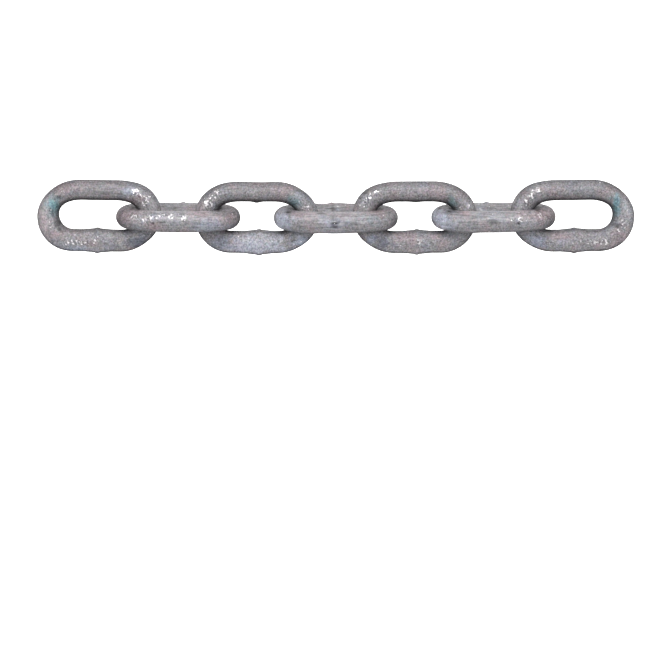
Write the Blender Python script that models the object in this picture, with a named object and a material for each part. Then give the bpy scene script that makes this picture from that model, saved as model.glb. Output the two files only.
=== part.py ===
"""A run of short-link welded steel chain, lying stretched out in a row on a flat surface.

Seven equal links are linked end to end. Each is one loop of round wire, closed by a butt weld in one of its
sides, where the wire swells and carries a low collar. The welded side runs into the ends more sharply at one
end of the link than at the other, as the bending tool leaves it. Every link lies with its welded side down and
rests on its collar: links 1, 3, 5 and 7 lean back from the front, and links 2, 4 and 6 lean forward from the
back. The middle of the row lies a little in front of its two ends. Metres, +Z up, the row along +X, its lowest
points at Z = 0.
"""

import math

import bpy
from mathutils import Matrix, Vector
from mathutils.geometry import interpolate_bezier

MM = 0.001

# Row
LINK_COUNT = 7
PITCH = 25.1 * MM                # from one link's centre to the next one's, along the row
HALF_ROW = (LINK_COUNT - 1) / 2 * PITCH
ROW_BOW = 0.7 * MM               # how far the middle of the row lies in front of its two end links
FACE_LEAN = math.radians(46.0)   # slope of links 1, 3, 5 and 7 across the row
EDGE_LEAN = math.radians(42.0)   # slope of links 2, 4 and 6, the other way
SWAPPED_LINKS = (5, 6, 7)        # these lie end for end, with the sharp end of their welded side on the right

# Loop, along the middle of its wire
TIP = 16.3 * MM                  # from a link's centre to the tips of its ends
HALF_WIDTH = 8.075 * MM          # from a link's centre to its two sides
QUARTER_STEPS = 8                # points along each quarter of the loop's ends

# The quarters of a loop: how far each reaches along the link, and its roundness at the tip and at the side
PLAIN_QUARTER = (10.9 * MM, 0.52, 0.68)
SHARP_QUARTER = (8.0 * MM, 0.56, 0.56)
SLANTED_QUARTER = (9.8 * MM, 0.56, 0.62)

# Wire
BOW_WIRE = 6.95 * MM             # diameter at the tips of the ends
PLAIN_WIRE = 6.45 * MM           # diameter of the side with no weld
WELD_WIRE = 7.1 * MM             # diameter of the welded side where it runs into the ends
SWOLLEN_WIRE = 7.75 * MM         # diameter of the welded side beside the collar
COLLAR = 8.1 * MM                # diameter of the weld collar
COLLAR_SHIFT = 0.7 * MM          # from the link's centre to the collar, towards the sharp end
COLLAR_CREST = 0.9 * MM          # half the collar's length at its full diameter
COLLAR_FOOT = 1.5 * MM           # half its length with the slope at each of its ends
SWELL_END = 4.6 * MM             # from the collar to where the wire is no longer swollen
WIRE_RESOLUTION = 6              # bevel steps, for a section of 16 flats
WIRE_FLATS = 4 + 2 * WIRE_RESOLUTION
FLAT_STEP = 2 * math.pi / WIRE_FLATS
FLAT_INSET = math.cos(FLAT_STEP / 2)   # a flat's distance from the middle, over the wire's radius

STEADY = 0.92                    # the share of the plain side that is exactly straight

ZINC_COLOUR = (0.42, 0.43, 0.45, 1.0)
ZINC_ROUGHNESS = 0.42


def clear_scene():
    """Removes what the file opened with."""
    for old in list(bpy.data.objects):
        bpy.data.objects.remove(old, do_unlink=True)


def make_zinc():
    """Hot-dip zinc on steel."""
    zinc = bpy.data.materials.new("zinc")
    zinc.use_nodes = True
    shader = zinc.node_tree.nodes["Principled BSDF"]
    shader.inputs["Base Color"].default_value = ZINC_COLOUR
    shader.inputs["Metallic"].default_value = 1.0
    shader.inputs["Roughness"].default_value = ZINC_ROUGHNESS
    return zinc


def end_diameter(y):
    """Wire diameter on a rounded end, from the tip's at y = 0 to that of the side it runs into."""
    side = PLAIN_WIRE if y > 0 else WELD_WIRE
    return BOW_WIRE + (side - BOW_WIRE) * abs(y) / HALF_WIDTH


def quarter(right, up, shape):
    """Points of one quarter of the ends, from the tip to the side, as (x, y, wire diameter)."""
    reach, tip_roundness, side_roundness = shape
    tip = Vector((right * TIP, 0, 0))
    side = Vector((right * (TIP - reach), up * HALF_WIDTH, 0))
    tip_handle = tip + Vector((0, up * tip_roundness * HALF_WIDTH, 0))
    side_handle = side + Vector((right * side_roundness * reach, 0, 0))
    points = interpolate_bezier(tip, tip_handle, side_handle, side, QUARTER_STEPS + 1)
    return [(p.x, p.y, end_diameter(p.y)) for p in points]


def plain_side():
    """Inner points of the side with no weld, from right to left."""
    reach = PLAIN_QUARTER[0]
    steady = STEADY * (TIP - reach)
    return [(x, HALF_WIDTH, PLAIN_WIRE) for x in (steady, -steady)]


def weld_side(collar_x):
    """Inner points of the welded side, from left to right, with its swelling and its collar."""
    steps = [
        (-SWELL_END, WELD_WIRE),
        (-COLLAR_FOOT, SWOLLEN_WIRE),
        (-COLLAR_CREST, COLLAR),
        (COLLAR_CREST, COLLAR),
        (COLLAR_FOOT, SWOLLEN_WIRE),
        (SWELL_END, WELD_WIRE),
    ]
    return [(collar_x + x, -HALF_WIDTH, diameter) for x, diameter in steps]


def loop_points(swapped):
    """The whole loop once round, from the right tip, as (x, y, wire diameter)."""
    left_shape, right_shape, collar_x = SHARP_QUARTER, SLANTED_QUARTER, -COLLAR_SHIFT
    if swapped:
        left_shape, right_shape, collar_x = SLANTED_QUARTER, SHARP_QUARTER, COLLAR_SHIFT
    plain_left = quarter(-1, 1, PLAIN_QUARTER)[::-1]
    weld_right = quarter(1, -1, right_shape)[::-1]
    return (
        quarter(1, 1, PLAIN_QUARTER)
        + plain_side()
        + plain_left[:-1]
        + quarter(-1, -1, left_shape)
        + weld_side(collar_x)
        + weld_right[:-1]
    )


def lies_on_face(number):
    """Whether a link is one of those that show their opening from the front."""
    return number % 2 == 1


def lean_of(number):
    """The slope of a link's plane across the row."""
    return FACE_LEAN if lies_on_face(number) else -EDGE_LEAN


def roll_of(number):
    """A link's turn about X from flat, which always leaves its weld, on -Y, the lower side."""
    return lean_of(number) if lies_on_face(number) else lean_of(number) + math.pi


def make_loop(number):
    """A link's wire, flat in XY with its weld on -Y, turned in its section so that one flat faces down."""
    loop = bpy.data.curves.new(f"link_{number}", "CURVE")
    loop.dimensions = "3D"
    loop.twist_mode = "Z_UP"
    loop.bevel_depth = BOW_WIRE / 2
    loop.bevel_resolution = WIRE_RESOLUTION
    spline = loop.splines.new("POLY")
    points = loop_points(number in SWAPPED_LINKS)
    spline.points.add(len(points) - 1)
    roll = roll_of(number)
    nearest_flat = (math.floor(roll / FLAT_STEP) + 0.5) * FLAT_STEP
    for point, (x, y, diameter) in zip(spline.points, points):
        point.co = (x, y, 0, 1)
        point.radius = diameter / BOW_WIRE
        point.tilt = nearest_flat - roll
    spline.use_cyclic_u = True
    spline.use_smooth = True
    return loop


def row_place(number):
    """How far along the row a link lies, from -1 at the left end link to 1 at the right one."""
    return (2 * number - LINK_COUNT - 1) / (LINK_COUNT - 1)


def heading_of(number):
    """A link's heading about Z, along the bowed row."""
    return 2 * ROW_BOW * row_place(number) / HALF_ROW


def centre_of(number):
    """A link's centre as it lies, with the row's box centred on X = 0 and Y = 0."""
    collar_reach = COLLAR / 2 * FLAT_INSET
    front_reach = HALF_WIDTH * math.cos(FACE_LEAN) + collar_reach - ROW_BOW * row_place(5) ** 2
    back_reach = HALF_WIDTH * math.cos(EDGE_LEAN) + collar_reach + ROW_BOW * row_place(6) ** 2
    x = row_place(number) * HALF_ROW
    y = (front_reach - back_reach) / 2 + ROW_BOW * row_place(number) ** 2
    z = HALF_WIDTH * math.sin(abs(lean_of(number))) + collar_reach
    return Vector((x, y, z))


def place_of(number):
    """The whole placement of a link."""
    heading = Matrix.Rotation(heading_of(number), 4, "Z")
    return Matrix.Translation(centre_of(number)) @ heading @ Matrix.Rotation(roll_of(number), 4, "X")


def make_pivot(number, collection):
    """The point a link swings about: the middle of the end wire of the link before, with Z along its axis."""
    pivot = bpy.data.objects.new(f"link_{number}_pivot", None)
    pivot.empty_display_size = BOW_WIRE
    end_wire = place_of(number - 1) @ Vector((TIP, 0, 0))
    heading = Matrix.Rotation(heading_of(number), 4, "Z")
    pivot.matrix_world = Matrix.Translation(end_wire) @ heading @ Matrix.Rotation(lean_of(number), 4, "X")
    collection.objects.link(pivot)
    return pivot


def attach(child, parent):
    """Parents a child without moving it."""
    placed = child.matrix_world.copy()
    child.parent = parent
    child.matrix_parent_inverse = parent.matrix_world.inverted()
    child.matrix_world = placed


def build():
    """Makes the links and hangs each on the one before."""
    clear_scene()
    collection = bpy.data.collections.new("short_link_chain")
    bpy.context.scene.collection.children.link(collection)
    zinc = make_zinc()
    previous_pivot = None
    for number in range(1, LINK_COUNT + 1):
        loop = make_loop(number)
        loop.materials.append(zinc)
        link = bpy.data.objects.new(f"link_{number}", loop)
        link.matrix_world = place_of(number)
        collection.objects.link(link)
        if number == 1:
            previous_pivot = link
            bpy.context.view_layer.update()
            continue
        pivot = make_pivot(number, collection)
        bpy.context.view_layer.update()
        attach(pivot, previous_pivot)
        attach(link, pivot)
        bpy.context.view_layer.update()
        previous_pivot = pivot


build()
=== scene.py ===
"""Looks of a straight run of seven galvanised short-link chain links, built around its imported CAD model.

Each link is one loop of round steel wire, butt-welded in one side and dipped in molten zinc. The zinc has
set with small runs, beads and stains, and these, with the swollen weld and its flash, are what this script
adds to the plain CAD loops. Metres, +Z up, the row along +X.
"""

import logging
import math
from dataclasses import dataclass, field
from enum import Enum

import bmesh
import bpy
import numpy as np
from mathutils import Euler, Matrix, Vector, noise
from mathutils.geometry import interpolate_bezier


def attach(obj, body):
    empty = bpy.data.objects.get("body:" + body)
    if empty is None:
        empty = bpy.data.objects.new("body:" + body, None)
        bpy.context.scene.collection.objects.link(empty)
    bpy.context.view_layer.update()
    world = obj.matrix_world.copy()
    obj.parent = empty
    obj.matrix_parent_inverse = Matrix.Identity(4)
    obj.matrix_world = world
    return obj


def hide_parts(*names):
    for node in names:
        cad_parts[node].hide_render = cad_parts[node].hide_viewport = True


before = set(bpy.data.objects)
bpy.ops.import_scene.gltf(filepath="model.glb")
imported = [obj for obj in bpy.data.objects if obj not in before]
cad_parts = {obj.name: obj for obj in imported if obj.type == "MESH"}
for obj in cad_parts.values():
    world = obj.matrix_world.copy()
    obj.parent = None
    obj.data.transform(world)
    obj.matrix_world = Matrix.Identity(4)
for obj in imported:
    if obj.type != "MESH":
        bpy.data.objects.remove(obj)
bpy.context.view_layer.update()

LOG = logging.getLogger("chain")
MM = 0.001
MID_GREY = 0.5

# A point on a wire's middle line: its x and y, and the wire's radius in the link's plane and across it
WirePoint = tuple[float, float, float, float]
Tree = bpy.types.NodeTree
Socket = bpy.types.NodeSocket


class Lay(Enum):
    """How a link lies in the row, as seen from the front."""

    FACE = "shows its opening"
    EDGE = "shows its edge"


class Tint(Enum):
    """What a stain, or a patch of painted shade, does to the zinc, and the mesh attribute that holds where
    it lies.
    """

    # Glossier zinc, which also carries more of the painted highlights
    SHINE = "shine"
    TEAL = "teal"
    BLUE = "blue"
    PINK = "pink"
    # A dark bluish grey stain, which also paints the shade the edge links' near bars cast on the face
    # links' lower bars
    SMOKE = "smoke_and_shade"
    # Dark marks, and painted shadow where one link crosses the end of another
    GRIME_AND_SHADOW = "grime_and_shadow"
    STREAK = "streak"
    BARE = "bare"
    PALE = "pale"


# The tints that the backs of the links carry as well
BACK_TINTS = (Tint.SHINE, Tint.PINK, Tint.BLUE, Tint.SMOKE, Tint.STREAK)


@dataclass(frozen=True)
class Quarter:
    """A quarter of a loop's ends: how far it reaches along the link, and how round it is at either end."""

    reach: float
    tip_roundness: float
    side_roundness: float


@dataclass(frozen=True)
class Station:
    """One cross-section of the wire, in the link's own plane: its radius in that plane, and across it."""

    centre: Vector
    outward: Vector
    radius: float
    across: float
    along: float


@dataclass(frozen=True)
class Loop:
    """The loop of wire that every link is made of: its middle line and how thick the wire is along it."""

    tip: float = 16.3 * MM
    half_width: float = 8.075 * MM
    plain: Quarter = Quarter(10.9 * MM, 0.52, 0.68)
    sharp: Quarter = Quarter(8.0 * MM, 0.56, 0.56)
    slanted: Quarter = Quarter(9.8 * MM, 0.56, 0.62)
    # Diameters of the round wire, each a little over those of the CAD's wire with its 16 flats
    bow_wire: float = 7.0 * MM
    plain_wire: float = 6.5 * MM
    weld_wire: float = 7.15 * MM
    swollen_wire: float = 7.8 * MM
    collar: float = 8.3 * MM
    # The welded side is trimmed flatter across the link than it is thick in the link's plane
    trimmed_wire: float = 6.6 * MM
    collar_crest: float = 0.3 * MM
    collar_foot: float = 0.95 * MM
    swell_end: float = 4.6 * MM
    station_count: int = 340
    curve_steps: int = 48

    def quarter_points(self, right: int, up: int, shape: Quarter) -> list[WirePoint]:
        """Points of one quarter of the ends, from the tip to the side.

        Args:
            right: 1 for the right end of the loop, -1 for the left one.
            up: 1 for the plain side, -1 for the welded side.
            shape: The quarter's reach and roundness.

        Returns:
            The points.
        """
        tip = Vector((right * self.tip, 0, 0))
        side = Vector((right * (self.tip - shape.reach), up * self.half_width, 0))
        tip_handle = tip + Vector((0, up * shape.tip_roundness * self.half_width, 0))
        side_handle = side + Vector((right * shape.side_roundness * shape.reach, 0, 0))
        points = interpolate_bezier(tip, tip_handle, side_handle, side, self.curve_steps)
        in_plane = self.plain_wire if up > 0 else self.weld_wire
        across = self.plain_wire if up > 0 else self.trimmed_wire
        shares = [abs(p.y) / self.half_width for p in points]
        return [
            (
                p.x, p.y,
                (self.bow_wire + (in_plane - self.bow_wire) * share) / 2,
                (self.bow_wire + (across - self.bow_wire) * share) / 2,
            )
            for p, share in zip(points, shares)
        ]

    def weld_points(self, collar_x: float) -> list[WirePoint]:
        """Points of the welded side from its collar to the right, where the swelling ends.

        Args:
            collar_x: Where the collar stands along the link.

        Returns:
            The points.
        """
        profile = (
            (0.0, self.collar),
            (self.collar_crest, self.collar),
            (self.collar_foot, self.swollen_wire),
            (self.swell_end, self.weld_wire),
        )
        return [(collar_x + x, -self.half_width, wire / 2, self.trimmed_wire / 2) for x, wire in profile]

    def outline(self, swapped: bool, collar_x: float) -> np.ndarray:
        """The whole loop once round from the collar to the right, closed.

        Args:
            swapped: Whether the sharp end of the welded side is on the right.
            collar_x: Where the collar stands along the link.

        Returns:
            The wire's points, one to a row.
        """
        left, right = (self.slanted, self.sharp) if swapped else (self.sharp, self.slanted)
        from_collar = self.weld_points(collar_x)
        to_collar = [(2 * collar_x - x, *rest) for x, *rest in from_collar[::-1]]
        points = from_collar + self.quarter_points(1, -1, right)[::-1]
        points += self.quarter_points(1, 1, self.plain)[1:]
        points += self.quarter_points(-1, 1, self.plain)[::-1]
        points += self.quarter_points(-1, -1, left)[1:]
        return np.array(points + to_collar)

    def stations(self, swapped: bool, collar_x: float) -> list[Station]:
        """Cross-sections at even steps along the loop.

        Args:
            swapped: Whether the sharp end of the welded side is on the right.
            collar_x: Where the collar stands along the link.

        Returns:
            The stations, the first of them at the collar.
        """
        line = self.outline(swapped, collar_x)
        steps = np.hypot(*np.diff(line[:, :2], axis=0).T)
        along = np.concatenate(([0], np.cumsum(steps)))
        places = np.arange(self.station_count) / self.station_count * along[-1]
        x, y, radius, across = (np.interp(places, along, line[:, k]) for k in range(4))
        ahead = np.roll(np.c_[x, y], -1, axis=0) - np.roll(np.c_[x, y], 1, axis=0)
        ahead /= np.hypot(*ahead.T)[:, None]
        return [
            Station(
                centre=Vector((x[i], y[i], 0)), outward=Vector((ahead[i, 1], -ahead[i, 0], 0)),
                radius=radius[i], across=across[i], along=places[i])
            for i in range(self.station_count)
        ]


@dataclass(frozen=True)
class Row:
    """How the links follow each other, as in the CAD model."""

    link_count: int = 7
    pitch: float = 25.1 * MM
    bow: float = 0.7 * MM
    face_lean: float = math.radians(46.0)
    edge_lean: float = math.radians(42.0)
    swapped: tuple[int, ...] = (5, 6, 7)
    # Link 3's weld stands on the other side of its middle, as in the photo
    collar_places: tuple[float, ...] = (
        -0.7 * MM, -0.7 * MM, 0.65 * MM, -0.7 * MM, 0.7 * MM, 0.7 * MM, 0.7 * MM)
    cad_collar: float = 8.1 * MM
    cad_flats: int = 16
    # The links that reach furthest to the front and to the back of the bowed row
    front_link: int = 5
    back_link: int = 6

    @property
    def half_row(self) -> float:
        """From the middle of the row to the middle of its end links."""
        return (self.link_count - 1) / 2 * self.pitch

    @property
    def collar_reach(self) -> float:
        """From the middle of the CAD's wire to the flat of its collar that the link rests on."""
        return self.cad_collar / 2 * math.cos(math.pi / self.cad_flats)

    def lay(self, number: int) -> Lay:
        """Which way a link lies."""
        return Lay.FACE if number % 2 else Lay.EDGE

    def share(self, number: int) -> float:
        """How far along the row a link lies, from -1 at the left end to 1 at the right."""
        return (2 * number - self.link_count - 1) / (self.link_count - 1)

    def place(self, number: int, half_width: float) -> Matrix:
        """A link's placement, from its own plane with the weld on -Y.

        Args:
            number: The link's number from the left.
            half_width: From the middle of the link to its sides.

        Returns:
            The matrix that puts the link in the row.
        """
        front = half_width * math.cos(self.face_lean) + self.collar_reach
        front -= self.bow * self.share(self.front_link) ** 2
        back = half_width * math.cos(self.edge_lean) + self.collar_reach
        back += self.bow * self.share(self.back_link) ** 2
        share = self.share(number)
        lean = self.face_lean if self.lay(number) is Lay.FACE else self.edge_lean
        roll = lean if self.lay(number) is Lay.FACE else math.pi - lean
        centre = Vector((
            share * self.half_row,
            (front - back) / 2 + self.bow * share ** 2,
            half_width * math.sin(lean) + self.collar_reach,
        ))
        heading = Matrix.Rotation(2 * self.bow * share / self.half_row, 4, "Z")
        return Matrix.Translation(centre) @ heading @ Matrix.Rotation(roll, 4, "X")


@dataclass(frozen=True)
class Lump:
    """A raised or sunk spot on one side of a link: a bead, a run of zinc, weld flash or an uneven bend.

    It lies x along the link, on the welded side or not, at an angle round the wire in degrees, with 0
    outward from the loop and 90 along the link's own +Z. Its height falls to a third at its reach along and
    round the wire. Lengths are in millimetres.
    """

    x: float
    welded: bool
    angle: float
    reach_along: float
    reach_round: float
    height: float


@dataclass(frozen=True)
class Stain:
    """A patch of another finish or of painted shade, placed across and down the front view, with its reach
    either way.
    """

    across: float
    down: float
    reach_across: float
    reach_down: float
    strength: float = 1.0


@dataclass(frozen=True)
class FrontView:
    """The row seen from the front: the direction, and the scale on which the stains are placed."""

    elevation: float = math.radians(51.5)
    middle: Vector = field(default_factory=lambda: Vector((0, 0, 9.39 * MM)))
    units_per_metre: float = 3130.0
    middle_across: float = 335.8
    middle_down: float = 215.35

    @property
    def towards(self) -> Vector:
        """From the row to the eye."""
        return Vector((0, -math.cos(self.elevation), math.sin(self.elevation)))

    @property
    def up(self) -> Vector:
        """Up in the view."""
        return Vector((0, math.sin(self.elevation), math.cos(self.elevation)))


def linear(hex_colour: str) -> tuple[float, float, float, float]:
    """Turns an sRGB hex colour to linear light, by the curve of the sRGB standard.

    Args:
        hex_colour: Six hex digits with a leading #.

    Returns:
        Red, green, blue and an alpha of 1.
    """
    parts = [int(hex_colour[k:k + 2], 16) / 255 for k in (1, 3, 5)]
    red, green, blue = (p / 12.92 if p <= 0.04045 else ((p + 0.055) / 1.055) ** 2.4 for p in parts)
    return red, green, blue, 1.0


def add_node(tree: Tree, kind: str, settings: dict, inputs: dict) -> dict[str, Socket]:
    """Adds a node with its settings and links.

    Args:
        tree: The node tree it goes into.
        kind: The node's type name.
        settings: Its properties by name.
        inputs: For each input's identifier, a value, or an output socket to link.

    Returns:
        Its output sockets by their identifiers.
    """
    node = tree.nodes.new(kind)
    for name, value in settings.items():
        setattr(node, name, value)
    sockets = {socket.identifier: socket for socket in node.inputs}
    for name, value in inputs.items():
        if isinstance(value, Socket):
            tree.links.new(value, sockets[name])
        else:
            sockets[name].default_value = value
    return {socket.identifier: socket for socket in node.outputs}


@dataclass(frozen=True)
class Ramp:
    """A stretch of a pattern's numbers, from start to end, and what the pattern gives at either."""

    start: float
    end: float
    at_start: float
    at_end: float

    def over(self, pattern: Socket) -> dict[str, Socket | float]:
        """The inputs that lay the ramp over a pattern."""
        return {
            "Value": pattern, "From Min": self.start, "From Max": self.end,
            "To Min": self.at_start, "To Max": self.at_end}


@dataclass(frozen=True)
class GalvanisedZinc:
    """Hot-dip galvanised steel, its zinc set from the melt.

    To the eye it is a mottled grey, dull under its oxide film, with glossier wet-looking runs and beads,
    and small near-white spots painted into its colour as highlights.
    """

    grey: str = "#868487"
    # The near-white of the painted highlights
    glint_white: str = "#f3eff2"
    pink: str = "#8f8286"
    blue: str = "#9aa0b0"
    cool: str = "#7f8592"
    teal: str = "#66878f"
    # The dark bluish grey of those stains and of that painted shade
    smoke_and_shade: str = "#595e6c"
    # The dark of the grime, of the painted shadow at the crossings and of the painted shade inside the
    # loops
    grime_and_shadow: str = "#2e2b2e"
    metallic: float = 0.3
    shine_roughness: float = 0.2
    # How dark the painted shade on the inside of the loops is
    inner_shade_strength: float = 0.75
    paling: float = 0.4
    # The dull oxide film on the zinc takes up more light where it is looked through at a slant
    film_clearness: float = 0.5
    film_ior: float = 1.1
    film_roughness: float = 0.6
    film_share: float = 0.13
    # How much thinner the film is under the painted highlights
    glint_film_thinning: float = 0.8
    # Sizes of the patterns
    blotch: float = 5.0 * MM
    clouding: float = 1.8 * MM
    film: float = 0.9 * MM
    glint_spot: float = 0.75 * MM
    bead: float = 0.9 * MM
    streak: float = 0.5 * MM
    streak_stretch: float = 0.1
    # The zinc's crystals are under 0.1 mm; their grain is drawn at 0.55 mm so that it shows
    grain: float = 0.55 * MM
    # What the patterns do to the colour, the light and dark, and the gloss
    warm_blotches: Ramp = Ramp(0.52, 0.7, 0.0, 0.6)
    cool_blotches: Ramp = Ramp(0.48, 0.3, 0.0, 0.35)
    bright_grain: Ramp = Ramp(0.52, 0.66, 0.0, 0.5)
    dark_grain: Ramp = Ramp(0.48, 0.34, 0.0, -0.42)
    mottle: Ramp = Ramp(0.3, 0.7, -0.14, 0.14)
    streak_lines: Ramp = Ramp(0.36, 0.64, -0.5, 0.5)
    glint_threshold: Ramp = Ramp(0.7, 0.76, 0.0, 1.0)
    dulling: Ramp = Ramp(0.3, 0.7, 0.56, 0.72)
    # How strong the fine lines are everywhere, and how much stronger in a streak, with weaker grain
    line_strength: float = 0.12
    streak_strength: float = 0.45
    streak_smoothing: float = 0.6
    # How many more painted highlights a bright run carries
    shine_glint_boost: float = 0.2
    # The bump of the grain, and of the beads everywhere and in a bright run
    grain_depth: float = 0.03 * MM
    grain_strength: float = 0.6
    bead_depth: float = 0.16 * MM
    bead_strength: float = 0.15
    shine_beading: float = 0.8

    def hue(self, tree: Tree, place: Socket, tints: dict[Tint, Socket]) -> Socket:
        """The zinc's colour before its light and dark: blotches, stains with some painted shade, and the
        film's play of hues.

        Args:
            tree: The material's node tree.
            place: Each point's place.
            tints: How far each tint covers each point.

        Returns:
            The colour.
        """
        blotches = add_node(tree, "ShaderNodeTexNoise", {}, {
            "Vector": place, "Scale": 1 / self.blotch, "Detail": 2.0})["Fac"]
        warm = add_node(tree, "ShaderNodeMapRange", {}, self.warm_blotches.over(blotches))["Result"]
        cool = add_node(tree, "ShaderNodeMapRange", {}, self.cool_blotches.over(blotches))["Result"]
        colour = linear(self.grey)
        for cover, shade in (
            (warm, self.pink), (cool, self.cool), (tints[Tint.PINK], self.pink),
            (tints[Tint.BLUE], self.blue), (tints[Tint.SMOKE], self.smoke_and_shade), (tints[Tint.TEAL], self.teal),
        ):
            colour = add_node(tree, "ShaderNodeMix", {"data_type": "RGBA"}, {
                "Factor_Float": cover, "A_Color": colour, "B_Color": linear(shade)})["Result_Color"]
        # A thin oxide film shifts the zinc's hue a little from crystal to crystal
        film = add_node(tree, "ShaderNodeTexNoise", {}, {
            "Vector": place, "Scale": 1 / self.film, "Detail": 1.0})["Color"]
        film = add_node(tree, "ShaderNodeMix", {"data_type": "RGBA"}, {
            "Factor_Float": self.film_share, "A_Color": (MID_GREY, MID_GREY, MID_GREY, 1.0),
            "B_Color": film})["Result_Color"]
        film = add_node(tree, "ShaderNodeVectorMath", {"operation": "SCALE"}, {
            "Vector": film, "Scale": 1 / MID_GREY})["Vector"]
        return add_node(tree, "ShaderNodeVectorMath", {"operation": "MULTIPLY"}, {
            "Vector": colour, "Vector_001": film})["Vector"]

    def shade(self, tree: Tree, grain: Socket, clouds: Socket, tints: dict[Tint, Socket]) -> Socket:
        """How light or dark the zinc is: its grain, mottle, drawn streaks and pale patches.

        Args:
            tree: The material's node tree.
            grain: The grain of the zinc.
            clouds: Its soft clouding.
            tints: How far each tint covers each point.

        Returns:
            What the colour is multiplied by.
        """
        wire = add_node(tree, "ShaderNodeAttribute", {"attribute_name": "wire"}, {})["Vector"]
        stretched = add_node(tree, "ShaderNodeMapping", {}, {
            "Vector": wire, "Scale": (self.streak_stretch, 1.0, 1.0)})["Vector"]
        streaks = add_node(tree, "ShaderNodeTexNoise", {}, {
            "Vector": stretched, "Scale": 1 / self.streak, "Detail": 2.0})["Fac"]
        lines = add_node(tree, "ShaderNodeMapRange", {}, self.streak_lines.over(streaks))["Result"]
        lining = add_node(tree, "ShaderNodeMath", {"operation": "MULTIPLY_ADD"}, {
            "Value": tints[Tint.STREAK], "Value_001": self.streak_strength,
            "Value_002": self.line_strength})["Value"]
        lines = add_node(tree, "ShaderNodeMath", {"operation": "MULTIPLY"}, {
            "Value": lines, "Value_001": lining})["Value"]
        bright = add_node(tree, "ShaderNodeMapRange", {}, self.bright_grain.over(grain))["Result"]
        dark = add_node(tree, "ShaderNodeMapRange", {}, self.dark_grain.over(grain))["Result"]
        shade = add_node(tree, "ShaderNodeMath", {"operation": "ADD"}, {
            "Value": bright, "Value_001": dark})["Value"]
        # Where the zinc has set in streaks its grain is weaker
        graining = add_node(tree, "ShaderNodeMath", {"operation": "MULTIPLY_ADD"}, {
            "Value": tints[Tint.STREAK], "Value_001": -self.streak_smoothing, "Value_002": 1.0})["Value"]
        mottle = add_node(tree, "ShaderNodeMapRange", {}, self.mottle.over(clouds))["Result"]
        shade = add_node(tree, "ShaderNodeMath", {"operation": "MULTIPLY_ADD"}, {
            "Value": shade, "Value_001": graining, "Value_002": mottle})["Value"]
        for more in (lines, 1.0):
            shade = add_node(tree, "ShaderNodeMath", {"operation": "ADD"}, {
                "Value": shade, "Value_001": more})["Value"]
        paling = add_node(tree, "ShaderNodeMath", {"operation": "MULTIPLY_ADD"}, {
            "Value": tints[Tint.PALE], "Value_001": self.paling, "Value_002": 1.0})["Value"]
        shade = add_node(tree, "ShaderNodeMath", {"operation": "MULTIPLY"}, {
            "Value": shade, "Value_001": paling})["Value"]
        # Under the film the zinc is paler, so that bare zinc and filmed zinc look alike from straight above
        through = add_node(tree, "ShaderNodeMath", {"operation": "MULTIPLY_ADD"}, {
            "Value": tints[Tint.BARE], "Value_001": 1 - self.film_clearness,
            "Value_002": self.film_clearness})["Value"]
        return add_node(tree, "ShaderNodeMath", {"operation": "DIVIDE"}, {
            "Value": shade, "Value_001": through})["Value"]

    def painted_glints(self, tree: Tree, place: Socket, shine: Socket) -> Socket:
        """Small near-white spots painted into the zinc's colour as highlights, most of them where the zinc
        ran last.

        Args:
            tree: The material's node tree.
            place: Each point's place.
            shine: How far a bright run covers each point.

        Returns:
            How far a painted highlight covers each point.
        """
        glint_spot = add_node(tree, "ShaderNodeTexNoise", {}, {
            "Vector": place, "Scale": 1 / self.glint_spot, "Detail": 2.0, "Roughness": 0.6})["Fac"]
        glint_spot = add_node(tree, "ShaderNodeMath", {"operation": "MULTIPLY_ADD"}, {
            "Value": shine, "Value_001": self.shine_glint_boost, "Value_002": glint_spot})["Value"]
        return add_node(tree, "ShaderNodeMapRange", {}, self.glint_threshold.over(glint_spot))["Result"]

    def bump(self, tree: Tree, place: Socket, grain: Socket, shine: Socket) -> Socket:
        """The bump of the grain and the beads.

        Args:
            tree: The material's node tree.
            place: Each point's place.
            grain: The grain of the zinc.
            shine: How far a bright run covers each point.

        Returns:
            The bumped normal.
        """
        grained = add_node(tree, "ShaderNodeBump", {}, {
            "Strength": self.grain_strength, "Distance": self.grain_depth, "Height": grain})["Normal"]
        beads = add_node(tree, "ShaderNodeTexNoise", {}, {
            "Vector": place, "Scale": 1 / self.bead, "Detail": 1.0, "Distortion": 0.6})["Fac"]
        beading = add_node(tree, "ShaderNodeMath", {"operation": "MULTIPLY_ADD"}, {
            "Value": shine, "Value_001": self.shine_beading, "Value_002": self.bead_strength})["Value"]
        return add_node(tree, "ShaderNodeBump", {}, {
            "Strength": beading, "Distance": self.bead_depth, "Height": beads, "Normal": grained})["Normal"]

    def build(self) -> bpy.types.Material:
        """Makes the material.

        Returns:
            The material.
        """
        material = bpy.data.materials.new("hot_dip_zinc")
        material.use_nodes = True
        tree = material.node_tree
        tree.nodes.clear()
        place = add_node(tree, "ShaderNodeTexCoord", {}, {})["Object"]
        tints = {
            tint: add_node(tree, "ShaderNodeAttribute", {"attribute_name": tint.value}, {})["Fac"]
            for tint in Tint
        }
        shine = tints[Tint.SHINE]
        clouds = add_node(tree, "ShaderNodeTexNoise", {}, {
            "Vector": place, "Scale": 1 / self.clouding, "Detail": 3.0, "Roughness": 0.6})["Fac"]
        grain = add_node(tree, "ShaderNodeTexNoise", {}, {
            "Vector": place, "Scale": 1 / self.grain, "Detail": 2.0, "Roughness": 0.7})["Fac"]
        painted_glints = self.painted_glints(tree, place, shine)

        hue = self.hue(tree, place, tints)
        shade = self.shade(tree, grain, clouds, tints)
        colour = add_node(tree, "ShaderNodeVectorMath", {"operation": "SCALE"}, {
            "Vector": hue, "Scale": shade})["Vector"]
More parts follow.
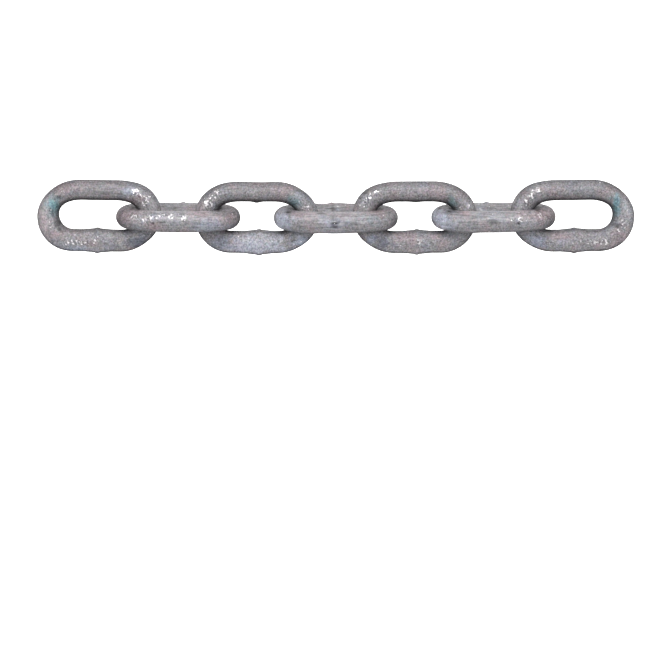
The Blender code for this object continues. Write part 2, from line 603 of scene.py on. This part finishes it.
        # Painted shade on the inner side of the loops, most of it under the face links' upper bars
        inner_shade = add_node(tree, "ShaderNodeAttribute", {"attribute_name": "inner_shade"}, {})["Fac"]
        painted_inner_shade = add_node(tree, "ShaderNodeMath", {"operation": "MULTIPLY"}, {
            "Value": inner_shade, "Value_001": self.inner_shade_strength})["Value"]
        # Over the colour go the grime and painted shadow, the painted shade inside the loops, and the
        # painted highlights
        for cover, top in ((tints[Tint.GRIME_AND_SHADOW], self.grime_and_shadow), (painted_inner_shade, self.grime_and_shadow), (painted_glints, self.glint_white)):
            colour = add_node(tree, "ShaderNodeMix", {"data_type": "RGBA"}, {
                "Factor_Float": cover, "A_Color": colour, "B_Color": linear(top)})["Result_Color"]

        dulled = add_node(tree, "ShaderNodeMapRange", {}, self.dulling.over(clouds))["Result"]
        roughness = add_node(tree, "ShaderNodeMix", {"data_type": "FLOAT"}, {
            "Factor_Float": shine, "A_Float": dulled, "B_Float": self.shine_roughness})["Result_Float"]
        unglinted = add_node(tree, "ShaderNodeMath", {"operation": "MULTIPLY_ADD"}, {
            "Value": painted_glints, "Value_001": -self.glint_film_thinning, "Value_002": 1.0})["Value"]
        film_cover = add_node(tree, "ShaderNodeMath", {"operation": "SUBTRACT", "use_clamp": True}, {
            "Value": unglinted, "Value_001": tints[Tint.BARE]})["Value"]
        clearness = (self.film_clearness, self.film_clearness, self.film_clearness, 1.0)
        shader = add_node(tree, "ShaderNodeBsdfPrincipled", {}, {
            "Base Color": colour,
            "Metallic": self.metallic,
            "Roughness": roughness,
            "Normal": self.bump(tree, place, grain, shine),
            "Coat Weight": film_cover,
            "Coat Roughness": self.film_roughness,
            "Coat IOR": self.film_ior,
            "Coat Tint": clearness,
        })
        add_node(tree, "ShaderNodeOutputMaterial", {}, {"Surface": shader["BSDF"]})
        return material


@dataclass(frozen=True)
class ClearGlass:
    """Clear anti-reflection glass for the floor, whose coating leaves it no gloss and no tint."""

    def build(self) -> bpy.types.Material:
        """Makes the material.

        Returns:
            The material.
        """
        material = bpy.data.materials.new("clear_glass")
        material.use_nodes = True
        tree = material.node_tree
        tree.nodes.clear()
        shader = add_node(tree, "ShaderNodeBsdfTransparent", {}, {})
        add_node(tree, "ShaderNodeOutputMaterial", {}, {"Surface": shader["BSDF"]})
        return material


@dataclass(frozen=True)
class OpalAcrylic:
    """Matt opal acrylic sheet below the floor, lit from behind as in a light table."""

    colour: str = "#fafafa"
    roughness: float = 0.9
    glow: float = 1.15

    def build(self) -> bpy.types.Material:
        """Makes the material.

        Returns:
            The material.
        """
        material = bpy.data.materials.new("opal_acrylic")
        material.use_nodes = True
        shader = material.node_tree.nodes["Principled BSDF"]
        shader.inputs["Base Color"].default_value = linear(self.colour)
        shader.inputs["Roughness"].default_value = self.roughness
        shader.inputs["Specular IOR Level"].default_value = 0.0
        shader.inputs["Emission Color"].default_value = linear(self.colour)
        shader.inputs["Emission Strength"].default_value = self.glow
        return material


@dataclass(frozen=True)
class BarRing:
    """A plain ring of round bar, its section of radius 1, from which every link is bent."""

    station_count: int
    section_points: int = 80
    ring_radius: float = 3.0

    def build(self) -> bpy.types.Mesh:
        """Spins the bar's section once round.

        Returns:
            The ring, with each point's station round it and angle round the bar.
        """
        bm = bmesh.new()
        station_layer = bm.verts.layers.int.new("station")
        angle_layer = bm.verts.layers.float.new("angle")
        stand = Matrix.Translation((self.ring_radius, 0, 0)) @ Matrix.Rotation(math.pi / 2, 4, "X")
        section = bmesh.ops.create_circle(bm, segments=self.section_points, radius=1.0, matrix=stand)
        for vert in section["verts"]:
            vert[angle_layer] = math.atan2(vert.co.z, vert.co.x - self.ring_radius)
        bmesh.ops.spin(
            bm, geom=list(bm.verts) + list(bm.edges), cent=(0, 0, 0), axis=(0, 0, 1), angle=2 * math.pi,
            steps=self.station_count, use_merge=True)
        for vert in bm.verts:
            turn = math.atan2(vert.co.y, vert.co.x) / (2 * math.pi)
            vert[station_layer] = round(turn * self.station_count) % self.station_count
        bmesh.ops.recalc_face_normals(bm, faces=bm.faces)
        mesh = bpy.data.meshes.new("bar_ring")
        bm.to_mesh(mesh)
        bm.free()
        return mesh


@dataclass(frozen=True)
class Skin:
    """The points of a link's plain wire, as it lies in the row, and the way out of the wire at each.

    For each point it also holds the middle of the wire in the link's own plane, the angle round the wire
    and the wire's radius.
    """

    points: np.ndarray
    radial: np.ndarray
    centres: np.ndarray
    angles: np.ndarray
    radii: np.ndarray


@dataclass
class ChainLink:
    """One link: its bent wire, the zinc's lumps and runs on it, and its stains."""

    number: int
    loop: Loop
    row: Row
    view: FrontView
    lumps: list[Lump]
    stains: dict[Tint, list[Stain]]
    # From which cosine of the angle round the wire its radius in the plane takes over, and how fast
    trim_edge: float = 0.5
    trim_slope: float = 0.4
    # The uneven set of the zinc
    wave: float = 3.0 * MM
    wave_height: float = 0.03 * MM
    ripple: float = 0.9 * MM
    ripple_height: float = 0.012 * MM
    bead: float = 0.75 * MM
    bead_height: float = 0.09 * MM
    # How near the middle line of the link a lump on one side fades out
    side_edge: float = 3.0 * MM
    # How ragged and steep the stains' edges are, and how sharply the stains end where the wire turns away
    stain_edge: float = 1.4 * MM
    stain_raggedness: float = 1.6
    stain_falloff: float = 1.5
    rim_sharpness: float = 8.0
    # The painted shade on the inside of the loop, darkest on the plain side: where it starts round the
    # wire, and its shares on the link's parts
    inner_edge: float = 0.55
    middle_shade: float = 0.6
    plain_side_shade: float = 0.5
    least_shade: float = 0.25
    edge_link_shade: float = 0.2

    def read(self, mesh: bpy.types.Mesh, name: str, kind: type) -> np.ndarray:
        """Reads one number for each point of a mesh.

        Args:
            mesh: The mesh.
            name: The attribute's name.
            kind: The numbers' type.

        Returns:
            The numbers in the points' order.
        """
        values = np.zeros(len(mesh.vertices), kind)
        mesh.attributes[name].data.foreach_get("value", values)
        return values

    def write(self, mesh: bpy.types.Mesh, name: str, values: np.ndarray) -> None:
        """Writes one number for each point of a mesh, for the material to read.

        Args:
            mesh: The mesh.
            name: The attribute's name.
            values: The numbers in the points' order.
        """
        layer = mesh.attributes.new(name, "FLOAT", "POINT")
        layer.data.foreach_set("value", values.astype(np.float32))

    def lump_height(self, lump: Lump, skin: Skin) -> np.ndarray:
        """How far a lump raises each point.

        Args:
            lump: The lump.
            skin: The link's skin.

        Returns:
            The heights in metres.
        """
        turn = skin.angles - math.radians(lump.angle)
        turn = (turn + math.pi) % (2 * math.pi) - math.pi
        away_along = (skin.centres[:, 0] - lump.x * MM) / (lump.reach_along * MM)
        away_round = turn * skin.radii / (lump.reach_round * MM)
        on_side = np.clip(skin.centres[:, 1] * (-1 if lump.welded else 1) / self.side_edge, 0, 1)
        return lump.height * MM * np.exp(-(away_along ** 2) - away_round ** 2) * on_side

    def relief(self, skin: Skin, shine: np.ndarray) -> np.ndarray:
        """How far the zinc stands proud of the plain wire: its waves, ripples, beads and lumps.

        Args:
            skin: The link's skin.
            shine: How far a bright run covers each point.

        Returns:
            The heights in metres.
        """
        relief = np.array([
            self.wave_height * noise.noise(Vector(p) / self.wave)
            + self.ripple_height * noise.noise(Vector(p) / self.ripple)
            for p in skin.points
        ])
        beads = np.array([noise.noise(Vector(p) / self.bead) for p in skin.points])
        relief += self.bead_height * shine * beads
        for lump in self.lumps:
            relief += self.lump_height(lump, skin)
        return relief

    def cover(self, tint: Tint, skin: Skin, ragged: np.ndarray) -> np.ndarray:
        """How far each point is covered by the stains of one tint.

        Args:
            tint: The tint.
            skin: The link's skin.
            ragged: How far a stain's edge is drawn in at each point, about 1.

        Returns:
            Shares from 0 to 1.
        """
        away = skin.points - np.array(self.view.middle)
        scale = self.view.units_per_metre
        across = self.view.middle_across + away[:, 0] * scale
        down = self.view.middle_down - away @ np.array(self.view.up) * scale
        facing = np.clip(skin.radial @ np.array(self.view.towards) * self.rim_sharpness, -1, 1)
        # The back of the link carries the marks of its front, turned end for end
        link_across = self.view.middle_across + self.row.share(self.number) * self.row.half_row * scale
        across = np.where(facing < 0, 2 * link_across - across, across)
        cover = np.zeros(len(skin.points))
        for stain in self.stains.get(tint, []):
            reach = ((across - stain.across) / stain.reach_across) ** 2
            reach += ((down - stain.down) / stain.reach_down) ** 2
            cover = np.maximum(cover, stain.strength * np.exp(-(reach * ragged) ** self.stain_falloff))
        behind = -facing if tint in BACK_TINTS else 0
        return cover * np.where(facing < 0, behind, facing)

    def painted_inner_shade(self, skin: Skin) -> np.ndarray:
        """How far painted shade darkens each point on the inner side of the loop.

        Args:
            skin: The link's skin.

        Returns:
            Shares from 0 to 1.
        """
        side = skin.centres[:, 1] / self.loop.half_width * self.plain_side_shade + self.middle_shade
        inner_shade = np.clip((-np.cos(skin.angles) - self.inner_edge) / (1 - self.inner_edge), 0, 1)
        inner_shade = inner_shade * np.clip(side, self.least_shade, 1)
        if self.row.lay(self.number) is Lay.EDGE:
            inner_shade *= self.edge_link_shade
        return inner_shade

    def bend(self, mesh: bpy.types.Mesh, stations: list[Station]) -> None:
        """Bends the ring of bar to the loop in its place, with its stains and the uneven set of its zinc.

        Args:
            mesh: The ring of bar.
            stations: The wire's cross-sections.
        """
        index = self.read(mesh, "station", np.int32)
        angles = self.read(mesh, "angle", np.float32)
        centres, outward, in_plane, across, along = (
            np.array([getattr(station, measure) for station in stations])[index]
            for measure in ("centre", "outward", "radius", "across", "along")
        )
        share = np.clip((np.abs(np.cos(angles)) - self.trim_edge) / self.trim_slope, 0, 1)
        radii = across + (in_plane - across) * share ** 2 * (3 - 2 * share)
        radial = outward * np.cos(angles)[:, None] + np.array([0, 0, 1]) * np.sin(angles)[:, None]
        place = np.array(self.row.place(self.number, self.loop.half_width))
        points = (centres + radial * radii[:, None]) @ place[:3, :3].T + place[:3, 3]
        skin = Skin(points, radial @ place[:3, :3].T, centres, angles, radii)
        ragged = np.exp([self.stain_raggedness * noise.noise(Vector(p) / self.stain_edge) for p in points])
        covers = {tint: self.cover(tint, skin, ragged) for tint in Tint}
        points = points + skin.radial * self.relief(skin, covers[Tint.SHINE])[:, None]
        # The weld's flash is pressed flat where the link rests on it
        points[:, 2] = np.maximum(points[:, 2], 0)
        mesh.vertices.foreach_set("co", points.astype(np.float32).ravel())
        for tint, cover in covers.items():
            self.write(mesh, tint.value, cover)
        self.write(mesh, "inner_shade", self.painted_inner_shade(skin))
        wire = np.c_[along + self.number, radii * np.cos(angles), radii * np.sin(angles)]
        layer = mesh.attributes.new("wire", "FLOAT_VECTOR", "POINT")
        layer.data.foreach_set("vector", wire.astype(np.float32).ravel())
        mesh.update()

    def dress(self, link: bpy.types.Object, zinc: bpy.types.Material) -> None:
        """Gives the link its material and its place in the frame.

        Args:
            link: The link's object.
            zinc: The zinc material.
        """
        link.data.materials.append(zinc)
        for polygon in link.data.polygons:
            polygon.use_smooth = True
        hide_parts(f"link_{self.number}")
        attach(link, f"link_{self.number}")

    def build(self, bar_ring: bpy.types.Mesh, zinc: bpy.types.Material) -> bpy.types.Object:
        """Makes the whole link.

        Args:
            bar_ring: The ring of bar to bend.
            zinc: The zinc material.

        Returns:
            The link's object.
        """
        collar_x = self.row.collar_places[self.number - 1]
        mesh = bar_ring.copy()
        mesh.name = f"zinc_link_{self.number}"
        self.bend(mesh, self.loop.stations(self.number in self.row.swapped, collar_x))
        for scratch in ("station", "angle"):
            mesh.attributes.remove(mesh.attributes[scratch])
        link = bpy.data.objects.new(f"zinc_link_{self.number}", mesh)
        bpy.context.scene.collection.objects.link(link)
        self.dress(link, zinc)
        return link


def add_area_light(name: str, size: tuple[float, float], power: float, at: Vector, turn: Euler) -> None:
    """Adds a rectangular light that the camera doesn't see.

    Args:
        name: The light's name.
        size: Its width and depth.
        power: Its power in watts.
        at: Where it stands.
        turn: How it is turned.
    """
    light = bpy.data.lights.new(name, "AREA")
    light.shape = "RECTANGLE"
    light.size, light.size_y = size
    light.energy = power
    lamp = bpy.data.objects.new(name, light)
    lamp.location = at
    lamp.rotation_euler = turn
    lamp.visible_camera = False
    bpy.context.scene.collection.objects.link(lamp)


@dataclass(frozen=True)
class Softbox:
    """A rectangular studio light, at an azimuth from the front and an elevation, both in degrees."""

    name: str
    azimuth: float
    elevation: float
    distance: float
    width: float
    depth: float
    power: float

    def build(self, target: Vector) -> None:
        """Makes the light and points it at the row.

        Args:
            target: What it points at.
        """
        azimuth, elevation = math.radians(self.azimuth), math.radians(self.elevation)
        away = Vector((
            math.sin(azimuth) * math.cos(elevation),
            -math.cos(azimuth) * math.cos(elevation),
            math.sin(elevation),
        ))
        turn = (-away).to_track_quat("-Z", "Y").to_euler()
        add_area_light(self.name, (self.width, self.depth), self.power, target + away * self.distance, turn)


@dataclass(frozen=True)
class BounceCard:
    """A white card that lies along the row, in front of it or behind it, and throws light up at it."""

    length: float
    depth: float
    y: float
    z: float
    radiance: float

    def build(self) -> None:
        """Makes the card's light."""
        power = self.radiance * math.pi * self.length * self.depth
        at = Vector((0, self.y, self.z))
        add_area_light("bounce_card", (self.length, self.depth), power, at, Euler((math.pi, 0, 0)))


@dataclass
class Studio:
    """The floor, the lights and the camera."""

    view: FrontView
    floor_side: float = 30.0
    # Links that swing down through the glass floor stay in sight above the lit sheet
    sheet_depth: float = 0.25
    camera_distance: float = 0.6
    camera_x: float = -0.25 * MM
    aim_below: float = math.radians(3.6)
    lens: float = 101.0
    clip: tuple[float, float] = (0.05, 20)
    world_grey: float = 0.05
    softboxes: tuple[Softbox, ...] = (
        Softbox("key_softbox", 0, 88, 0.8, 0.6, 0.35, 4.4),
        Softbox("top_spot", 0, 66, 0.9, 0.1, 0.08, 1.0),
        Softbox("front_fill", 0, 12, 1.2, 1.2, 0.3, 1.2),
        Softbox("left_fill", -70, 34, 0.9, 0.5, 0.4, 4.2),
        Softbox("right_fill", 70, 34, 0.9, 0.5, 0.4, 4.2),
        Softbox("back_fill", 180, 55, 0.9, 0.8, 0.3, 1.6),
        Softbox("low_back_fill", 180, 2, 1.2, 1.2, 0.3, 7.0),
    )
    cards: tuple[BounceCard, ...] = (
        BounceCard(0.23, 0.024, -0.024, 0.3 * MM, 1.9),
        BounceCard(0.23, 0.024, 0.026, 0.3 * MM, 1.9),
    )

    def build(self) -> None:
        """Makes the floor, the lights, the world and the camera."""
        self.make_floor()
        for softbox in self.softboxes:
            softbox.build(self.view.middle)
        for card in self.cards:
            card.build()
        world = bpy.data.worlds.new("studio")
        world.use_nodes = True
        grey = (self.world_grey, self.world_grey, self.world_grey, 1)
        world.node_tree.nodes["Background"].inputs["Color"].default_value = grey
        bpy.context.scene.world = world
        bpy.context.scene.view_settings.view_transform = "Standard"
        self.make_camera()

    def make_floor(self) -> None:
        """Makes the glass floor and the plain white sheet below it."""
        self.make_plate("floor", 0, ClearGlass().build())
        sheet = self.make_plate("lit_sheet", -self.sheet_depth, OpalAcrylic().build())
        sheet.visible_diffuse = False
        sheet.visible_glossy = False

    def make_plate(self, name: str, height: float, material: bpy.types.Material) -> bpy.types.Object:
        """Makes one level plate of the stage.

        Args:
            name: The plate's name.
            height: How high it lies.
            material: What it is made of.

        Returns:
            The plate's object.
        """
        mesh = bpy.data.meshes.new(name)
        bm = bmesh.new()
        level = Matrix.Translation((0, 0, height))
        bmesh.ops.create_grid(bm, x_segments=1, y_segments=1, size=self.floor_side / 2, matrix=level)
        bm.to_mesh(mesh)
        bm.free()
        mesh.materials.append(material)
        plate = bpy.data.objects.new(name, mesh)
        bpy.context.scene.collection.objects.link(plate)
        return plate

    def make_camera(self) -> None:
        """Makes the camera, looking down at the row's front."""
        lens = bpy.data.cameras.new("camera")
        lens.lens = self.lens
        lens.clip_start, lens.clip_end = self.clip
        camera = bpy.data.objects.new("camera", lens)
        camera.location = self.view.middle + self.view.towards * self.camera_distance
        camera.location.x = self.camera_x
        camera.rotation_euler = (math.pi / 2 - self.view.elevation - self.aim_below, 0, 0)
        bpy.context.scene.collection.objects.link(camera)
        bpy.context.scene.camera = camera


LUMPS = {
    1: [
        Lump(13.5, True, 0, 3.5, 4.0, -0.6),
        Lump(13.5, False, 0, 3.5, 4.0, 0.5),
        Lump(-14.0, False, 0, 3.5, 4.0, -0.45),
        Lump(-14.0, True, 0, 3.5, 4.0, 0.3),
    ],
    2: [
        Lump(0.9, True, 278, 0.7, 0.9, 0.3),
        Lump(0.0, False, 80, 8.0, 3.0, 0.3),
    ],
    3: [
        Lump(0.0, False, 180, 1.3, 1.3, 0.4),
        Lump(13.0, True, 0, 3.5, 4.0, -0.4),
        Lump(0.0, True, 0, 4.5, 4.0, 0.2),
        Lump(13.5, False, 0, 3.5, 4.0, -0.4),
        Lump(0.0, False, 0, 7.0, 4.0, -0.25),
    ],
    4: [
        Lump(-1.4, True, 278, 0.8, 0.9, 0.35),
        Lump(1.2, True, 285, 2.0, 0.5, 0.2),
        Lump(0.0, False, 80, 8.0, 3.0, 0.42),
        Lump(-9.5, False, 80, 4.0, 3.0, 0.36),
    ],
    5: [
        Lump(0.4, False, 180, 1.6, 1.2, 0.2),
        Lump(-13.0, True, 0, 3.5, 4.0, -0.4),
        Lump(-14.0, False, 0, 3.0, 4.0, 0.35),
    ],
    6: [
        Lump(-1.5, True, 278, 0.7, 0.9, 0.35),
        Lump(0.0, False, 80, 8.0, 3.0, 0.35),
        Lump(-9.5, False, 80, 4.0, 3.0, 0.42),
    ],
    7: [
        Lump(-13.0, True, 0, 4.0, 4.0, -0.6),
        Lump(-13.0, False, 0, 3.5, 4.0, 0.4),
        Lump(14.0, False, 0, 3.5, 4.0, -0.45),
        Lump(14.0, True, 0, 3.5, 4.0, 0.35),
    ],
}

# The dark bluish patches on the ends of the face links' lower bars paint the shade of the edge links' near
# bars above them
STAINS = {
    1: {
        Tint.TEAL: [Stain(56.5, 204, 5.5, 9, 0.9)],
        Tint.GRIME_AND_SHADOW: [
            Stain(61, 196, 2.5, 2, 0.5), Stain(58.5, 222, 3, 5, 0.6), Stain(55, 212, 1.4, 5, 0.6),
            Stain(61, 228, 2.5, 3, 0.6),
        ],
        Tint.STREAK: [Stain(112, 188, 20, 9, 0.6)],
        Tint.SHINE: [
            Stain(51.5, 224, 1.6, 6, 0.8), Stain(52.5, 209, 1.4, 5, 0.95),
            Stain(57.5, 201, 1.2, 4, 0.8), Stain(137, 190, 4.5, 3.5, 1), Stain(142, 195, 4, 4, 1),
            Stain(147, 201, 4, 5, 1), Stain(77, 241.5, 15, 2.4, 1), Stain(96, 240, 2, 3, 1),
        ],
        Tint.BARE: [Stain(45, 216, 9, 26, 0.6), Stain(152, 206, 9, 10, 0.7)],
        Tint.PALE: [Stain(46, 214, 11, 28, 0.9)],
        Tint.PINK: [Stain(66, 187, 14, 7, 0.7), Stain(56, 233, 9, 5, 0.8), Stain(132, 198, 7, 3, 0.7)],
        Tint.BLUE: [Stain(131, 190, 6, 5, 0.6), Stain(78, 248, 16, 3, 0.6)],
        Tint.SMOKE: [Stain(141, 241, 12, 6, 0.75)],
    },
    2: {
        Tint.BARE: [Stain(178, 207, 60, 8, 1)],
        # The first and third of these paint the shadow where the face links cross this link's ends; the
        # rest are dark marks
        Tint.GRIME_AND_SHADOW: [
            Stain(138, 206, 5.5, 2.4, 1), Stain(178, 206, 50, 4.5, 0.12),
            Stain(219, 207.5, 5.5, 2.4, 1), Stain(157, 221.5, 1.5, 1.2, 0.9),
            Stain(166, 220.5, 6, 1.2, 0.6),
        ],
        Tint.PALE: [Stain(178, 217, 90, 30, 0.5)],
        Tint.PINK: [
            Stain(127, 214, 9, 8, 0.9), Stain(156, 225, 6, 4, 0.9), Stain(205, 213, 10, 4, 0.6),
            Stain(232, 216, 6, 6, 0.8),
        ],
        Tint.SHINE: [
            Stain(136, 215, 7, 2.5, 1), Stain(151, 218, 6, 3.5, 1), Stain(164, 215, 5, 3, 1),
            Stain(174, 215, 5, 3.5, 0.9), Stain(186, 216.5, 4, 3.5, 1),
        ],
        Tint.BLUE: [Stain(212, 224, 14, 6, 0.5)],
        Tint.STREAK: [Stain(178, 207, 24, 4, 0.8), Stain(208, 218, 26, 12, 0.6)],
    },
    3: {
        Tint.BARE: [Stain(204, 207, 9, 10, 0.7), Stain(309, 206, 9, 10, 0.7)],
        Tint.SHINE: [
            Stain(219, 192, 3.5, 3, 1), Stain(214, 197, 4, 4, 1), Stain(209, 202, 4, 4.5, 1),
            Stain(302.5, 206.5, 2, 2, 1), Stain(308, 206, 1.8, 2.4, 1), Stain(303, 240, 5, 3, 0.5),
            Stain(245, 239, 2.5, 2.5, 0.8), Stain(270, 240, 4, 2, 0.6), Stain(283, 239, 2.5, 1.6, 0.7),
        ],
        Tint.TEAL: [Stain(294, 202, 6, 6, 0.6)],
        Tint.SMOKE: [Stain(222, 241, 12, 8, 0.6)],
        Tint.BLUE: [Stain(303, 240, 10, 6, 0.9), Stain(250, 246, 40, 8, 0.5)],
        Tint.PALE: [Stain(256, 241, 36, 12, 0.6)],
        Tint.PINK: [Stain(282, 189, 12, 6, 0.5)],
    },
    4: {
        Tint.BARE: [Stain(336, 208, 64, 8, 1), Stain(280, 219, 8, 12, 0.8)],
        # The first and third of these paint the shadow where the face links cross this link's ends; the
        # rest are dark marks
        Tint.GRIME_AND_SHADOW: [
            Stain(294, 207.5, 5, 2, 0.9), Stain(336, 206, 50, 4.5, 0.12),
            Stain(376, 207.5, 5.5, 2.4, 1), Stain(335, 221.5, 5, 1.5, 1),
            Stain(335, 225.5, 3.5, 1.3, 0.7), Stain(352, 222, 8, 1.3, 0.5),
            Stain(320, 212, 5, 1.3, 0.6), Stain(346, 209, 7, 1.3, 0.5), Stain(333, 206, 2, 3, 0.6),
            Stain(289, 211, 3, 1.2, 0.8),
        ],
        Tint.PALE: [Stain(336, 218, 90, 30, 0.55), Stain(281, 218, 9, 12, 0.9)],
        Tint.BLUE: [Stain(283, 219, 9, 9, 0.6), Stain(333, 223, 10, 5, 0.5)],
        Tint.STREAK: [Stain(332, 214, 54, 17, 0.9)],
        Tint.PINK: [Stain(299, 213, 10, 4, 0.7), Stain(376, 210, 10, 4, 0.8)],
        Tint.TEAL: [Stain(374, 219, 8, 5, 0.22)],
        Tint.SHINE: [Stain(337, 205, 5, 1.6, 0.5)],
    },
    5: {
        Tint.BARE: [Stain(362, 207, 9, 10, 0.7), Stain(467, 206, 9, 10, 0.7)],
        Tint.SHINE: [
            Stain(376, 190.5, 3.5, 3, 1), Stain(371, 195.5, 4, 4, 1), Stain(366.5, 201, 4, 4.5, 1),
            Stain(418.5, 240, 2, 4.5, 0.8), Stain(467, 205, 2.2, 2, 1), Stain(459, 206, 3, 2, 0.6),
        ],
        Tint.SMOKE: [Stain(382, 242, 9, 6, 0.6)],
        Tint.BLUE: [Stain(371, 238, 7, 5, 0.7)],
        Tint.PINK: [
            Stain(406, 236, 12, 5, 0.7), Stain(436, 236, 5, 4, 0.6), Stain(430, 190, 12, 7, 0.5),
        ],
        Tint.TEAL: [Stain(451, 202, 5, 6, 0.6)],
        Tint.GRIME_AND_SHADOW: [Stain(446, 199, 2, 2, 0.5)],
    },
    6: {
        Tint.BARE: [Stain(493, 207, 64, 8, 1), Stain(438, 218, 8, 13, 0.8)],
        # The first and third of these paint the shadow where the face links cross this link's ends; the
        # rest are dark marks
        Tint.GRIME_AND_SHADOW: [
            Stain(452, 207.5, 5, 2, 0.9), Stain(493, 206, 50, 4.5, 0.05),
            Stain(533, 206.5, 5.5, 2.4, 1), Stain(514.5, 221.5, 1.8, 1.6, 0.9),
            Stain(491, 221, 6, 2.4, 0.6), Stain(447.5, 210, 3, 1.2, 0.8),
        ],
        Tint.PALE: [Stain(493, 217, 90, 30, 0.55), Stain(438, 218, 9, 12, 0.9)],
        Tint.BLUE: [Stain(440, 219, 11, 10, 0.6)],
        Tint.STREAK: [Stain(480, 213, 48, 17, 0.85)],
        Tint.PINK: [Stain(462, 212, 6, 4, 0.8), Stain(538, 215, 11, 7, 0.9)],
        Tint.SHINE: [
            Stain(508, 218.5, 5, 2, 0.9), Stain(517, 218, 4, 2.5, 1), Stain(521, 222, 2, 2, 0.8),
            Stain(537, 214.5, 8, 2.6, 0.9), Stain(481, 207.5, 1.5, 1.2, 0.9),
        ],
    },
    7: {
        Tint.BARE: [Stain(519, 206, 9, 10, 0.7), Stain(626, 216, 9, 26, 0.5)],
        Tint.PALE: [Stain(627, 216, 10, 26, 0.6)],
        Tint.SHINE: [
            Stain(535, 189, 4, 3, 1), Stain(530, 194.5, 4, 4, 1), Stain(525, 200.5, 4, 4.5, 1),
            Stain(597, 240.5, 12, 3, 1), Stain(621.5, 222.5, 3, 6, 1), Stain(617, 229, 2.5, 2.5, 0.9),
        ],
        Tint.BLUE: [Stain(536, 240, 9, 6, 0.8)],
        Tint.SMOKE: [Stain(541, 240, 8, 5, 0.4)],
        Tint.PINK: [
            Stain(560, 235, 13, 4, 0.8), Stain(619, 236, 12, 8, 0.6), Stain(560, 197, 10, 3, 0.5),
        ],
        Tint.TEAL: [Stain(614, 204, 5, 9, 0.9)],
        Tint.GRIME_AND_SHADOW: [Stain(615.5, 224, 3, 2.5, 0.7)],
    },
}


def main() -> None:
    """Builds the links, then the studio around them."""
    logging.basicConfig(level=logging.INFO, format="%(name)s: %(message)s")
    view = FrontView()
    loop = Loop()
    row = Row()
    zinc = GalvanisedZinc().build()
    bar_ring = BarRing(loop.station_count).build()
    for number in range(1, row.link_count + 1):
        link = ChainLink(number, loop, row, view, LUMPS[number], STAINS[number]).build(bar_ring, zinc)
        LOG.info("%s: %d points, %d faces", link.name, len(link.data.vertices), len(link.data.polygons))
    bpy.data.meshes.remove(bar_ring)
    Studio(view).build()


if __name__ == "__main__":
    main()
